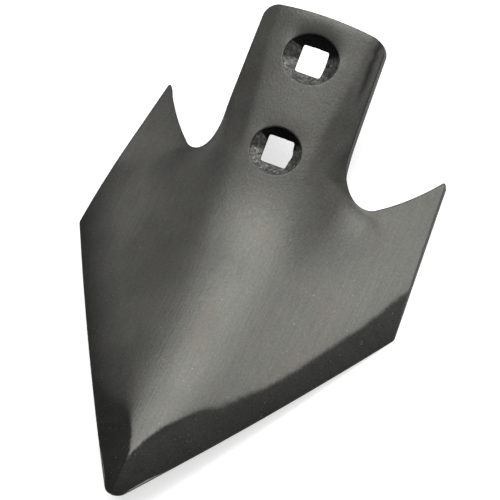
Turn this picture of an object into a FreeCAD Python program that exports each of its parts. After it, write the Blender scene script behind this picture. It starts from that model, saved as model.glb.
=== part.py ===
"""Cultivator sweep: one pressed steel plate with ground edges and two square bolt holes.

Millimetres, Z up. The sweep is drawn nose first along Y, with the cutting edges in the
plane z = 0, and the finished body is then laid on its two straight wing edges.
"""
import FreeCAD
import Part
import Sketcher
import math
import os

V = FreeCAD.Vector

doc = FreeCAD.newDocument("cultivator_sweep")
sheet = doc.addObject("Spreadsheet::Sheet", "Sizes")

SIZES = [
    # plate and wings
    ("plate_t", 5.2, "plate thickness"),
    ("wing_roll", 11.1, "fall of the wings to each side, degrees"),
    ("shoulder_x", 82.1, "half width at the shoulders, the widest place"),
    ("shoulder_y", 131.9, "shoulder line behind the nose corner"),
    ("shoulder_r", 3.5, "rounding at the shoulders"),
    ("edge_bow", 1.4, "outward bow of each cutting edge"),
    ("nose_r", 6.0, "rounding of the nose in plan"),
    ("tip_x", 73.0, "half distance between the wing tips"),
    ("tip_y", 213.9, "wing tips behind the nose corner"),
    ("tip_r", 1.0, "rounding of the wing tips"),
    ("rear_turn", 38.0, "rear wing edge from the Y direction, degrees"),
    ("rear_bow", 1.2, "hollow of each rear wing edge"),
    ("notch_r", 10.2, "rounding between stem and wing"),
    # stem
    ("stem_low_x", 32.3, "half width of the stem at the notches"),
    ("stem_top_x", 31.1, "half width of the stem at its top"),
    ("stem_corner_r", 6.5, "rounding of the top corners"),
    ("stem_top_bow", 0.6, "rise of the top edge in its middle"),
    ("stem_end", 22.0, "top edge above the upper hole, along the stem"),
    # crown
    ("crown_pitch", 9.0, "rise of the crown towards the stem, degrees"),
    ("stem_pitch", 29.0, "rise of the stem, degrees"),
    ("bend_y", 150.8, "where the crown line and the stem line would meet"),
    ("crown_base", 3.52, "height of the crown line carried on to the nose corner"),
    ("bend_r", 128.0, "bend between crown and stem"),
    ("nose_top", 5.1, "height of the middle at the nose"),
    ("apex_y", 27.0, "station where the bevels end"),
    ("apex_top", 8.6, "height of the middle at that station"),
    ("crown_low_r", 25.0, "radius across the crown near the nose"),
    ("crown_high_r", 95.0, "radius across the crown at the stem"),
    ("crown_low_x", 5.5, "half width of the crown arc near the nose"),
    ("crown_high_x", 20.0, "half width of the crown arc at the stem"),
    ("flank_low_r", 95.0, "radius from crown to flank near the nose"),
    ("flank_high_r", 27.0, "radius from crown to flank at the stem"),
    ("valley_low_r", 200.0, "radius from flank to wing near the nose"),
    ("valley_high_r", 29.0, "radius from flank to wing at the stem"),
    # ground bevels on the top
    ("bevel_nose_w", 14.6, "bevel width at the nose, in plan"),
    ("bevel_mid_w", 11.8, "bevel width halfway, in plan"),
    ("bevel_end_w", 9.5, "bevel width at the shoulder, in plan"),
    ("edge_land", 0.5, "blunt height of the cutting edge"),
    # bolt holes
    ("hole_y", 180.0, "lower bolt hole behind the nose corner"),
    ("hole_pitch", 45.0, "distance between the bolt holes"),
    ("hole_square", 13.2, "side of the square holes"),
    ("hole_corner_r", 0.8, "rounding in the corners of the square holes"),
    ("sink_upper_d", 26.0, "countersink of the upper hole"),
    ("sink_lower_d", 23.6, "countersink of the lower hole"),
    ("sink_half_angle", 45.0, "half angle of the countersinks, degrees"),
]
D = {}
for row, (alias, number, note) in enumerate(SIZES, start=1):
    sheet.set("A%d" % row, alias)
    sheet.set("B%d" % row, "%g" % number)
    sheet.set("C%d" % row, note)
    sheet.setAlias("B%d" % row, alias)
    D[alias] = number
doc.recompute()

body = doc.addObject("PartDesign::Body", "Sweep")
body.Label = "sweep"


def origin_plane(role):
    for feature in body.Origin.OriginFeatures:
        if feature.Role == role:
            return feature
    raise RuntimeError("no origin plane " + role)


XY = origin_plane("XY_Plane")
XZ = origin_plane("XZ_Plane")
YZ = origin_plane("YZ_Plane")


def new_sketch(name, plane):
    sketch = body.newObject("Sketcher::SketchObject", name)
    sketch.AttachmentSupport = [(plane, "")]
    sketch.MapMode = "FlatFace"
    return sketch


def bound(sketch, constraint, expression):
    """Adds a dimension to the sketch and ties it to the sheet."""
    index = sketch.addConstraint(constraint)
    if expression is not None:
        sketch.setExpression("Constraints[%d]" % index, expression)
    return index


def at_x(sketch, geo, point, value, expression):
    bound(sketch, Sketcher.Constraint("DistanceX", -1, 1, geo, point, value), expression)


def at_y(sketch, geo, point, value, expression):
    bound(sketch, Sketcher.Constraint("DistanceY", -1, 1, geo, point, value), expression)


def check(feature):
    doc.recompute()
    if "Invalid" in feature.State or "Error" in feature.State:
        raise RuntimeError(feature.Name + " did not build")
    if feature.Shape.isNull() or not feature.Shape.isValid():
        raise RuntimeError(feature.Name + " has no valid shape")
    return feature


# Numbers that follow from the sheet. Each one has the matching expression beside it.
roll = math.radians(D["wing_roll"])
SLOPE = math.tan(roll)
RISE = SLOPE * D["shoulder_x"] / D["shoulder_y"]
TILT = math.hypot(SLOPE, RISE)
E_RISE = "tan(Sizes.wing_roll * 1 deg) * Sizes.shoulder_x / Sizes.shoulder_y"
E_TILT = ("sqrt(tan(Sizes.wing_roll * 1 deg) ^ 2 * "
          "(1 + (Sizes.shoulder_x / Sizes.shoulder_y) ^ 2))")
THICK_Z = D["plate_t"] * math.sqrt(1 + TILT ** 2)
E_THICK_Z = "Sizes.plate_t * sqrt(1 + (%s) ^ 2)" % E_TILT

pitch = math.radians(D["crown_pitch"])
steep = math.radians(D["stem_pitch"])
BEND_Z = D["crown_base"] + D["bend_y"] * math.tan(pitch)
E_BEND_Z = "(Sizes.crown_base + Sizes.bend_y * tan(Sizes.crown_pitch * 1 deg))"
BEND_T = D["bend_r"] * math.tan((steep - pitch) / 2)
E_BEND_T = "Sizes.bend_r * tan((Sizes.stem_pitch - Sizes.crown_pitch) * 0.5 deg)"
E_BEND_CY = ("(Sizes.bend_y - (%s) * cos(Sizes.crown_pitch * 1 deg)"
             " - Sizes.bend_r * sin(Sizes.crown_pitch * 1 deg))" % E_BEND_T)
E_BEND_CZ = ("(%s - (%s) * sin(Sizes.crown_pitch * 1 deg)"
             " + Sizes.bend_r * cos(Sizes.crown_pitch * 1 deg))" % (E_BEND_Z, E_BEND_T))
BEND_CY = D["bend_y"] - BEND_T * math.cos(pitch) - D["bend_r"] * math.sin(pitch)
BEND_CZ = BEND_Z - BEND_T * math.sin(pitch) + D["bend_r"] * math.cos(pitch)
HALF_W = 100.0


def on_crown(y, e_y):
    """Station on the straight crown below the bend."""
    top = BEND_Z - (D["bend_y"] - y) * math.tan(pitch)
    e_top = ("%s - (Sizes.bend_y - (%s)) * tan(Sizes.crown_pitch * 1 deg)"
             % (E_BEND_Z, e_y))
    return y, e_y, top, e_top, math.cos(pitch), "cos(Sizes.crown_pitch * 1 deg)"


def on_bend(share):
    """Station on the bend, share 0 at its lower end and 1 at its upper end."""
    angle = pitch + (steep - pitch) * share
    e_angle = ("((Sizes.crown_pitch + (Sizes.stem_pitch - Sizes.crown_pitch) * %g) * 1 deg)"
               % share)
    y = BEND_CY + D["bend_r"] * math.sin(angle)
    top = BEND_CZ - D["bend_r"] * math.cos(angle)
    e_y = "%s + Sizes.bend_r * sin%s" % (E_BEND_CY, e_angle)
    e_top = "%s - Sizes.bend_r * cos%s" % (E_BEND_CZ, e_angle)
    return y, e_y, top, e_top, math.cos(angle), "cos%s" % e_angle


def on_stem(along):
    """Station on the straight stem, a length above the meeting point."""
    y = D["bend_y"] + (BEND_T + along) * math.cos(steep)
    top = BEND_Z + (BEND_T + along) * math.sin(steep)
    e_run = "(%s + %g)" % (E_BEND_T, along)
    e_y = "Sizes.bend_y + %s * cos(Sizes.stem_pitch * 1 deg)" % e_run
    e_top = "%s + %s * sin(Sizes.stem_pitch * 1 deg)" % (E_BEND_Z, e_run)
    return y, e_y, top, e_top, math.cos(steep), "cos(Sizes.stem_pitch * 1 deg)"


def grown(low, high, share, e_share):
    """A size that grows from its value near the nose to its value at the stem."""
    value = D[low] + (D[high] - D[low]) * share
    return value, "(Sizes.%s + (Sizes.%s - Sizes.%s) * %s)" % (low, high, low, e_share)


def half_outline(top, crown_r, crown_x, flank_r, valley_r, wing_z):
    """Centres and joints on one side, from the crown's middle out to the wing."""
    c = math.cos(roll)
    s = math.sin(roll)
    zc = top - crown_r
    sa = crown_x / crown_r
    ca = math.sqrt(1 - sa * sa)
    fx = (crown_r - flank_r) * sa
    fz = zc + (crown_r - flank_r) * ca
    over = (fz - (wing_z - SLOPE * fx)) * c
    reach = math.sqrt((flank_r + valley_r) ** 2 - (valley_r - over) ** 2)
    run = fx * c + (wing_z - fz) * s + reach
    vx = run * c + valley_r * s
    vz = wing_z - run * s + valley_r * c
    share = flank_r / (flank_r + valley_r)
    return {
        "zc": zc,
        "crown_end": (crown_r * sa, zc + crown_r * ca),
        "flank": (fx, fz),
        "flank_end": (fx + (vx - fx) * share, fz + (vz - fz) * share),
        "valley": (vx, vz),
        "wing": (run * c, wing_z - run * s),
    }


def section(name, station):
    """Cross section of the plate: crown, flanks, valleys and flat wings."""
    y, e_y, top, e_top, lean, e_lean = station
    share = 0.0
    e_share = "0"
    if y >= D["hole_y"] - 1:
        share = 1.0
        e_share = "1"
    elif y > D["apex_y"]:
        share = (y - D["apex_y"]) / (D["hole_y"] - D["apex_y"])
        e_share = "(((%s) - Sizes.apex_y) / (Sizes.hole_y - Sizes.apex_y))" % e_y
    crown_r, e_crown_r = grown("crown_low_r", "crown_high_r", share, e_share)
    crown_x, e_crown_x = grown("crown_low_x", "crown_high_x", share, e_share)
    flank_r, e_flank_r = grown("flank_low_r", "flank_high_r", share, e_share)
    valley, e_valley = grown("valley_low_r", "valley_high_r", share, e_share)
    thick = D["plate_t"] / lean
    e_thick = "Sizes.plate_t / %s" % e_lean
    layers = {
        "top": half_outline(top, crown_r, crown_x, flank_r, valley, THICK_Z + RISE * y),
        "low": half_outline(top - thick, crown_r - thick,
                            crown_x * (crown_r - thick) / crown_r, flank_r - thick,
                            valley + D["plate_t"], RISE * y),
    }

    def arc(cx, cz, ax, az, bx, bz):
        radius = math.hypot(ax - cx, az - cz)
        circle = Part.Circle(V(cx, cz, 0), V(0, 0, 1), radius)
        a0 = math.atan2(az - cz, ax - cx)
        a1 = math.atan2(bz - cz, bx - cx)
        if a1 < a0:
            a1 += 2 * math.pi
        return Part.ArcOfCircle(circle, a0, a1)

    sketch = new_sketch(name, XZ)
    sketch.AttachmentOffset = FreeCAD.Placement(V(0, 0, -y), FreeCAD.Rotation())
    sketch.setExpression("AttachmentOffset.Base.z", "-(%s)" % e_y)

    # upper and lower outline, both drawn from the right wing to the left one
    ids = {}
    for layer in ("top", "low"):
        points = layers[layer]
        zc = points["zc"]
        ox, oz = points["crown_end"]
        fx, fz = points["flank"]
        qx, qz = points["flank_end"]
        vx, vz = points["valley"]
        px, pz = points["wing"]
        ex = HALF_W
        ez = pz - SLOPE * (HALF_W - px)
        g = []
        g.append(sketch.addGeometry(Part.LineSegment(V(ex, ez, 0), V(px, pz, 0))))
        g.append(sketch.addGeometry(arc(vx, vz, qx, qz, px, pz)))
        g.append(sketch.addGeometry(arc(fx, fz, qx, qz, ox, oz)))
        g.append(sketch.addGeometry(arc(0.0, zc, ox, oz, -ox, oz)))
        g.append(sketch.addGeometry(arc(-fx, fz, -ox, oz, -qx, qz)))
        g.append(sketch.addGeometry(arc(-vx, vz, -px, pz, -qx, qz)))
        g.append(sketch.addGeometry(Part.LineSegment(V(-px, pz, 0), V(-ex, ez, 0))))
        ids[layer] = g
        # joints are tangent from curve to curve
        tangent = [(g[0], 2, g[1], 2), (g[1], 1, g[2], 1), (g[2], 2, g[3], 1),
                   (g[3], 2, g[4], 1), (g[4], 2, g[5], 2), (g[5], 1, g[6], 1)]
        for first, p1, second, p2 in tangent:
            sketch.addConstraint(Sketcher.Constraint("Tangent", first, p1, second, p2))
    t = ids["top"]
    w = ids["low"]
    ends = []
    for k, end in ((0, 1), (6, 2)):
        hi = t[k]
        lo = w[k]
        a = sketch.getPoint(hi, end)
        b = sketch.getPoint(lo, end)
        line = sketch.addGeometry(Part.LineSegment(a, b))
        sketch.addConstraint(Sketcher.Constraint("Coincident", line, 1, hi, end))
        sketch.addConstraint(Sketcher.Constraint("Coincident", line, 2, lo, end))
        ends.append(line)

    # the crown and flank arcs of both layers share their centres
    for k in (2, 3, 4):
        sketch.addConstraint(Sketcher.Constraint("Coincident", t[k], 3, w[k], 3))
    for k in (0, 6):
        sketch.addConstraint(Sketcher.Constraint("Parallel", t[k], w[k]))

    at_x(sketch, t[3], 3, 0.0, None)
    at_y(sketch, t[3], 3, top - crown_r, "%s - %s" % (e_top, e_crown_r))
    bound(sketch, Sketcher.Constraint("Radius", t[3], crown_r), e_crown_r)
    bound(sketch, Sketcher.Constraint("Radius", w[3], crown_r - thick),
          "%s - %s" % (e_crown_r, e_thick))
    e_fall = "%g * tan(Sizes.wing_roll * 1 deg)" % HALF_W
    e_low_z = "%s * (%s) - %s" % (E_RISE, e_y, e_fall)
    for side, flank, bend, wing, join, end in ((1, 2, 1, 0, 2, 1), (-1, 4, 5, 6, 1, 2)):
        bound(sketch, Sketcher.Constraint("Radius", t[flank], flank_r), e_flank_r)
        bound(sketch, Sketcher.Constraint("Radius", t[bend], valley), e_valley)
        bound(sketch, Sketcher.Constraint("Radius", w[bend], valley + D["plate_t"]),
              "%s + Sizes.plate_t" % e_valley)
        at_x(sketch, t[flank], join, side * crown_x, "%d * (%s)" % (side, e_crown_x))
        at_x(sketch, t[wing], end, side * HALF_W, None)
        at_x(sketch, w[wing], end, side * HALF_W, None)
        at_y(sketch, t[wing], end, THICK_Z + RISE * y - SLOPE * HALF_W,
             "%s + %s" % (E_THICK_Z, e_low_z))
        at_y(sketch, w[wing], end, RISE * y - SLOPE * HALF_W, e_low_z)
        turn = math.pi - roll if side > 0 else math.pi + roll
        e_turn = "(180 %s Sizes.wing_roll) * 1 deg" % ("-" if side > 0 else "+")
        bound(sketch, Sketcher.Constraint("Angle", t[wing], turn), e_turn)
    return sketch


stations = [
    ("SectionNose", (0.0, "0", D["nose_top"], "Sizes.nose_top", 1.0, "1")),
    ("SectionApex", (D["apex_y"], "Sizes.apex_y", D["apex_top"], "Sizes.apex_top",
                     math.cos(pitch), "cos(Sizes.crown_pitch * 1 deg)")),
]
low_y = D["apex_y"] + 0.36 * (D["bend_y"] - D["apex_y"])
mid_y = D["apex_y"] + 0.64 * (D["bend_y"] - D["apex_y"])
stations.append(("SectionLow", on_crown(
    low_y, "(Sizes.apex_y + 0.36 * (Sizes.bend_y - Sizes.apex_y))")))
stations.append(("SectionMiddle", on_crown(
    mid_y, "(Sizes.apex_y + 0.64 * (Sizes.bend_y - Sizes.apex_y))")))
stations.append(("SectionBendLow", on_bend(0.0)))
stations.append(("SectionBend", on_bend(0.5)))
stations.append(("SectionBendHigh", on_bend(1.0)))
stations.append(("SectionFoot", on_stem(14.0)))
stations.append(("SectionHoles", on_stem(30.0)))
stations.append(("SectionUpper", on_stem(48.0)))
stations.append(("SectionEnd", on_stem(66.0)))
stations.append(("SectionTop", on_stem(85.0)))

sections = []
for name, station in stations:
    sections.append(section(name, station))
doc.recompute()
for sketch in sections:
    if sketch.solve() != 0 or not sketch.FullyConstrained:
        raise RuntimeError(sketch.Name + " is not solved")

plate = body.newObject("PartDesign::AdditiveLoft", "PressedPlate")
plate.Profile = sections[0]
plate.Sections = sections[1:]
plate.Ruled = False
check(plate)

# Plan outline: everything outside it is cut away
N = (0.0, 0.0)
S = (D["shoulder_x"], D["shoulder_y"])
T = (D["tip_x"], D["tip_y"])
rear_angle = math.radians(D["rear_turn"])
STEM_Y = 300.0
CUT_W = 130.0


def stem_x(y):
    """Half width of the stem at a station."""
    share = (y - D["hole_y"]) / D["hole_pitch"]
    return D["stem_low_x"] + (D["stem_top_x"] - D["stem_low_x"]) * share


C_Y = T[1] - (T[0] - stem_x(T[1])) / math.tan(rear_angle)
C = (stem_x(C_Y), C_Y)
TOP = (stem_x(STEM_Y), STEM_Y)


def bow_radius(a, b, bow):
    chord = math.hypot(b[0] - a[0], b[1] - a[1])
    return (chord * chord / 4 + bow * bow) / (2 * bow)


def rounding(before, corner, after, radius):
    """Start, centre and end of a rounding between two straight lines."""
    ux, uy = before[0] - corner[0], before[1] - corner[1]
    wx, wy = after[0] - corner[0], after[1] - corner[1]
    lu = math.hypot(ux, uy)
    lw = math.hypot(wx, wy)
    ux, uy, wx, wy = ux / lu, uy / lu, wx / lw, wy / lw
    half = math.acos(ux * wx + uy * wy) / 2
    back = radius / math.tan(half)
    start = (corner[0] + ux * back, corner[1] + uy * back)
    end = (corner[0] + wx * back, corner[1] + wy * back)
    mx, my = ux + wx, uy + wy
    lm = math.hypot(mx, my)
    far = radius / math.sin(half)
    centre = (corner[0] + mx / lm * far, corner[1] + my / lm * far)
    return start, centre, end


def arc_through(start, centre, end, radius):
    """The short arc from start to end about the centre, and which end comes first."""
    a0 = math.atan2(start[1] - centre[1], start[0] - centre[0])
    a1 = math.atan2(end[1] - centre[1], end[0] - centre[0])
    forward = (a1 - a0) % (2 * math.pi) < math.pi
    if not forward:
        a0, a1 = a1, a0
    if a1 < a0:
        a1 += 2 * math.pi
    circle = Part.Circle(V(centre[0], centre[1], 0), V(0, 0, 1), radius)
    return Part.ArcOfCircle(circle, a0, a1), forward


def bowed(start, end, chord_a, chord_b, bow, left):
    """A long flat arc whose circle runs through two corners."""
    radius = bow_radius(chord_a, chord_b, bow)
    mx, my = (chord_a[0] + chord_b[0]) / 2, (chord_a[1] + chord_b[1]) / 2
    dx, dy = chord_b[0] - chord_a[0], chord_b[1] - chord_a[1]
    chord = math.hypot(dx, dy)
    nx, ny = (-dy / chord, dx / chord) if left else (dy / chord, -dx / chord)
    centre = (mx + nx * (radius - bow), my + ny * (radius - bow))
    return arc_through(start, centre, end, radius)


outline = new_sketch("PlanOutline", XY)
frame_points = [(-CUT_W, -40.0), (CUT_W, -40.0), (CUT_W, STEM_Y + 20), (-CUT_W, STEM_Y + 20)]
frame_lines = []
for k in range(4):
    a = frame_points[k]
    b = frame_points[(k + 1) % 4]
    frame_lines.append(outline.addGeometry(Part.LineSegment(V(a[0], a[1], 0), V(b[0], b[1], 0))))
for k in range(4):
    outline.addConstraint(Sketcher.Constraint(
        "Coincident", frame_lines[k], 2, frame_lines[(k + 1) % 4], 1))
    at_x(outline, frame_lines[k], 1, frame_points[k][0], None)
    at_y(outline, frame_lines[k], 1, frame_points[k][1], None)

E_STEM_X = ("Sizes.stem_low_x + (Sizes.stem_top_x - Sizes.stem_low_x)"
            " * ((%s) - Sizes.hole_y) / Sizes.hole_pitch")


def joined(first, p1, second, p2):
    outline.addConstraint(Sketcher.Constraint("Tangent", first, p1, second, p2))


def corner_point(side, name, point, e_x, e_y):
    """A named corner of the outline before rounding."""
    geo = outline.addGeometry(Part.Point(V(side * point[0], point[1], 0)), True)
    at_x(outline, geo, 1, side * point[0], "%d * (%s)" % (side, e_x))
    at_y(outline, geo, 1, point[1], e_y)
    return geo


n_start, n_centre, n_end = rounding(S, N, (-S[0], S[1]), D["nose_r"])
nose_arc, nose_forward = arc_through((-n_start[0], n_start[1]), n_centre, n_start, D["nose_r"])
nose = outline.addGeometry(nose_arc)
nose_end = {1: 2 if nose_forward else 1, -1: 1 if nose_forward else 2}
tops = []
for side in (1, -1):
    def flip(point):
        return (side * point[0], point[1])

    def put(pair):
        geometry, forward = pair
        return outline.addGeometry(geometry), (1, 2) if forward else (2, 1)

    s_start, s_centre, s_end = rounding(N, S, T, D["shoulder_r"])
    t_start, t_centre, t_end = rounding(S, T, C, D["tip_r"])
    c_start, c_centre, c_end = rounding(T, C, TOP, D["notch_r"])
    right = side > 0
    cut, cut_p = put(bowed(flip(n_start), flip(s_start), flip(N), flip(S),
                           D["edge_bow"], right))
    shoulder, shoulder_p = put(arc_through(flip(s_start), flip(s_centre), flip(s_end),
                                           D["shoulder_r"]))
    wing = outline.addGeometry(Part.LineSegment(
        V(side * s_end[0], s_end[1], 0), V(side * t_start[0], t_start[1], 0)))
    tip, tip_p = put(arc_through(flip(t_start), flip(t_centre), flip(t_end), D["tip_r"]))
    rear, rear_p = put(bowed(flip(t_end), flip(c_start), flip(T), flip(C),
                             D["rear_bow"], not right))
    notch, notch_p = put(arc_through(flip(c_start), flip(c_centre), flip(c_end),
                                     D["notch_r"]))
    stem = outline.addGeometry(Part.LineSegment(
        V(side * c_end[0], c_end[1], 0), V(side * TOP[0], TOP[1], 0)))
    joined(nose, nose_end[side], cut, cut_p[0])
    joined(cut, cut_p[1], shoulder, shoulder_p[0])
    joined(shoulder, shoulder_p[1], wing, 1)
    joined(wing, 2, tip, tip_p[0])
    joined(tip, tip_p[1], rear, rear_p[0])
    joined(rear, rear_p[1], notch, notch_p[0])
    joined(notch, notch_p[1], stem, 1)
    at_x(outline, stem, 2, side * TOP[0], "%d * (%s)" % (side, E_STEM_X % ("%g" % STEM_Y)))
    at_y(outline, stem, 2, STEM_Y, None)
    for geo, alias in ((shoulder, "shoulder_r"), (tip, "tip_r"), (notch, "notch_r")):
        bound(outline, Sketcher.Constraint("Radius", geo, D[alias]), "Sizes." + alias)
    p_s = corner_point(side, "Shoulder", S, "Sizes.shoulder_x", "Sizes.shoulder_y")
    p_t = corner_point(side, "Tip", T, "Sizes.tip_x", "Sizes.tip_y")
    # the stem side and the rear wing edge would meet in this corner
    e_low = E_STEM_X % "0"
    e_gain = "(Sizes.stem_top_x - Sizes.stem_low_x) / Sizes.hole_pitch"
    e_tan = "tan(Sizes.rear_turn * 1 deg)"
    e_cy = ("(Sizes.tip_y * %s - Sizes.tip_x + %s) / (%s - %s)"
            % (e_tan, e_low, e_tan, e_gain))
    gain = (D["stem_top_x"] - D["stem_low_x"]) / D["hole_pitch"]
    tan_r = math.tan(rear_angle)
    cy = (T[1] * tan_r - T[0] + stem_x(0.0)) / (tan_r - gain)
    p_c = corner_point(side, "Notch", (stem_x(cy), cy), E_STEM_X % e_cy, e_cy)
    outline.addConstraint(Sketcher.Constraint("PointOnObject", -1, 1, cut))
    outline.addConstraint(Sketcher.Constraint("PointOnObject", p_s, 1, cut))
    outline.addConstraint(Sketcher.Constraint("PointOnObject", p_s, 1, wing))
    outline.addConstraint(Sketcher.Constraint("PointOnObject", p_t, 1, wing))
    outline.addConstraint(Sketcher.Constraint("PointOnObject", p_t, 1, rear))
    outline.addConstraint(Sketcher.Constraint("PointOnObject", p_c, 1, rear))
    outline.addConstraint(Sketcher.Constraint("PointOnObject", p_c, 1, stem))
    e_chord = "(Sizes.shoulder_x ^ 2 + Sizes.shoulder_y ^ 2)"
    bound(outline, Sketcher.Constraint("Radius", cut, bow_radius(N, S, D["edge_bow"])),
          "(%s / 4 + Sizes.edge_bow ^ 2) / (2 * Sizes.edge_bow)" % e_chord)
    e_chord = "((Sizes.tip_x - (%s)) ^ 2 + (Sizes.tip_y - (%s)) ^ 2)" % (E_STEM_X % e_cy, e_cy)
    bound(outline, Sketcher.Constraint("Radius", rear, bow_radius(T, C, D["rear_bow"])),
          "(%s / 4 + Sizes.rear_bow ^ 2) / (2 * Sizes.rear_bow)" % e_chord)
    tops.append(stem)
bound(outline, Sketcher.Constraint("Radius", nose, D["nose_r"]), "Sizes.nose_r")
cap = outline.addGeometry(Part.LineSegment(V(TOP[0], TOP[1], 0), V(-TOP[0], TOP[1], 0)))
outline.addConstraint(Sketcher.Constraint("Coincident", cap, 1, tops[0], 2))
outline.addConstraint(Sketcher.Constraint("Coincident", cap, 2, tops[1], 2))
doc.recompute()
if outline.solve() != 0 or not outline.FullyConstrained:
    raise RuntimeError("the plan outline is not solved")

trim = body.newObject("PartDesign::Pocket", "TrimToOutline")
trim.Profile = outline
trim.SideType = "Symmetric"
trim.Type = "ThroughAll"
check(trim)


def cut_amount(before, feature):
    check(feature)
    removed = before.Volume - feature.Shape.Volume
    if removed < 1.0:
        raise RuntimeError(feature.Name + " cuts nothing")
    return removed


# The plane of the stem, through the point where crown line and stem line meet
E_ALONG = "(Sizes.hole_y - Sizes.bend_y) / cos(Sizes.stem_pitch * 1 deg)"
ALONG = (D["hole_y"] - D["bend_y"]) / math.cos(steep)


def on_stem_plane(sketch):
    sketch.AttachmentOffset = FreeCAD.Placement(
        V(0, D["bend_y"], BEND_Z), FreeCAD.Rotation(V(1, 0, 0), D["stem_pitch"]))
    sketch.setExpression("AttachmentOffset.Base.y", "Sizes.bend_y")
    sketch.setExpression("AttachmentOffset.Base.z", E_BEND_Z)
    sketch.setExpression("AttachmentOffset.Rotation.Angle", "Sizes.stem_pitch")


# The top edge is a shallow arc with rounded corners, cut square to the stem
top_edge = new_sketch("TopEdge", XY)
on_stem_plane(top_edge)
end_v = ALONG + D["hole_pitch"] + D["stem_end"]
E_END_V = "%s + Sizes.hole_pitch + Sizes.stem_end" % E_ALONG
bow = D["stem_top_bow"]
top_r = (D["stem_top_x"] ** 2 + bow * bow) / (2 * bow)
E_TOP_R = "((Sizes.stem_top_x ^ 2 + Sizes.stem_top_bow ^ 2) / (2 * Sizes.stem_top_bow))"
corner_r = D["stem_corner_r"]
side_x = stem_x(D["bend_y"] + (end_v - corner_r) * math.cos(steep))
E_SIDE_X = E_STEM_X % ("(Sizes.bend_y + (%s - Sizes.stem_corner_r)"
                       " * cos(Sizes.stem_pitch * 1 deg))" % E_END_V)
corner_cx = side_x - corner_r
corner_cv = end_v - top_r + math.sqrt((top_r - corner_r) ** 2 - corner_cx ** 2)
turn = math.atan2(corner_cv - end_v + top_r, corner_cx)
arc_geo = top_edge.addGeometry(Part.ArcOfCircle(
    Part.Circle(V(0, end_v - top_r, 0), V(0, 0, 1), top_r), turn, math.pi - turn))
right_corner = top_edge.addGeometry(Part.ArcOfCircle(
    Part.Circle(V(corner_cx, corner_cv, 0), V(0, 0, 1), corner_r), 0.0, turn))
left_corner = top_edge.addGeometry(Part.ArcOfCircle(
    Part.Circle(V(-corner_cx, corner_cv, 0), V(0, 0, 1), corner_r), math.pi - turn, math.pi))
high_v = end_v + 40.0
beyond = side_x + 12.0
path = [(side_x, corner_cv), (beyond, corner_cv), (beyond, high_v),
        (-beyond, high_v), (-beyond, corner_cv), (-side_x, corner_cv)]
sides = []
for k in range(5):
    p = path[k]
    q = path[k + 1]
    sides.append(top_edge.addGeometry(Part.LineSegment(V(p[0], p[1], 0), V(q[0], q[1], 0))))
    if k:
        top_edge.addConstraint(Sketcher.Constraint("Coincident", sides[k - 1], 2, sides[k], 1))
    straight = "Vertical" if k in (1, 3) else "Horizontal"
    top_edge.addConstraint(Sketcher.Constraint(straight, sides[k]))
top_edge.addConstraint(Sketcher.Constraint("Tangent", arc_geo, 1, right_corner, 2))
top_edge.addConstraint(Sketcher.Constraint("Tangent", arc_geo, 2, left_corner, 1))
top_edge.addConstraint(Sketcher.Constraint("Coincident", sides[0], 1, right_corner, 1))
top_edge.addConstraint(Sketcher.Constraint("Coincident", sides[4], 2, left_corner, 2))
at_x(top_edge, arc_geo, 3, 0.0, None)
at_y(top_edge, arc_geo, 3, end_v - top_r, "%s - %s" % (E_END_V, E_TOP_R))
bound(top_edge, Sketcher.Constraint("Radius", arc_geo, top_r), E_TOP_R)
for side, corner, end in ((1, right_corner, 1), (-1, left_corner, 2)):
    bound(top_edge, Sketcher.Constraint("Radius", corner, corner_r), "Sizes.stem_corner_r")
    top_edge.addConstraint(Sketcher.Constraint("Horizontal", corner, 3, corner, end))
    at_x(top_edge, corner, end, side * side_x, "%d * (%s)" % (side, E_SIDE_X))
at_x(top_edge, sides[0], 2, beyond, "%s + 12" % E_SIDE_X)
at_x(top_edge, sides[2], 2, -beyond, "-(%s + 12)" % E_SIDE_X)
at_y(top_edge, sides[2], 1, high_v, "%s + 40" % E_END_V)
doc.recompute()
if top_edge.solve() != 0:
    raise RuntimeError("the top edge is not solved")
end_cut = body.newObject("PartDesign::Pocket", "TopEdgeCut")
end_cut.Profile = top_edge
end_cut.SideType = "Symmetric"
end_cut.Type = "ThroughAll"
cut_amount(trim.Shape, end_cut)

# Ground bevels: a wedge along each cutting edge, drawn square to the edge
heading = math.degrees(math.atan2(D["shoulder_x"], D["shoulder_y"]))
EDGE_L = math.hypot(D["shoulder_x"], D["shoulder_y"])
E_HEADING = "atan(Sizes.shoulder_x / Sizes.shoulder_y)"
E_EDGE_L = "sqrt(Sizes.shoulder_x ^ 2 + Sizes.shoulder_y ^ 2)"


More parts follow.
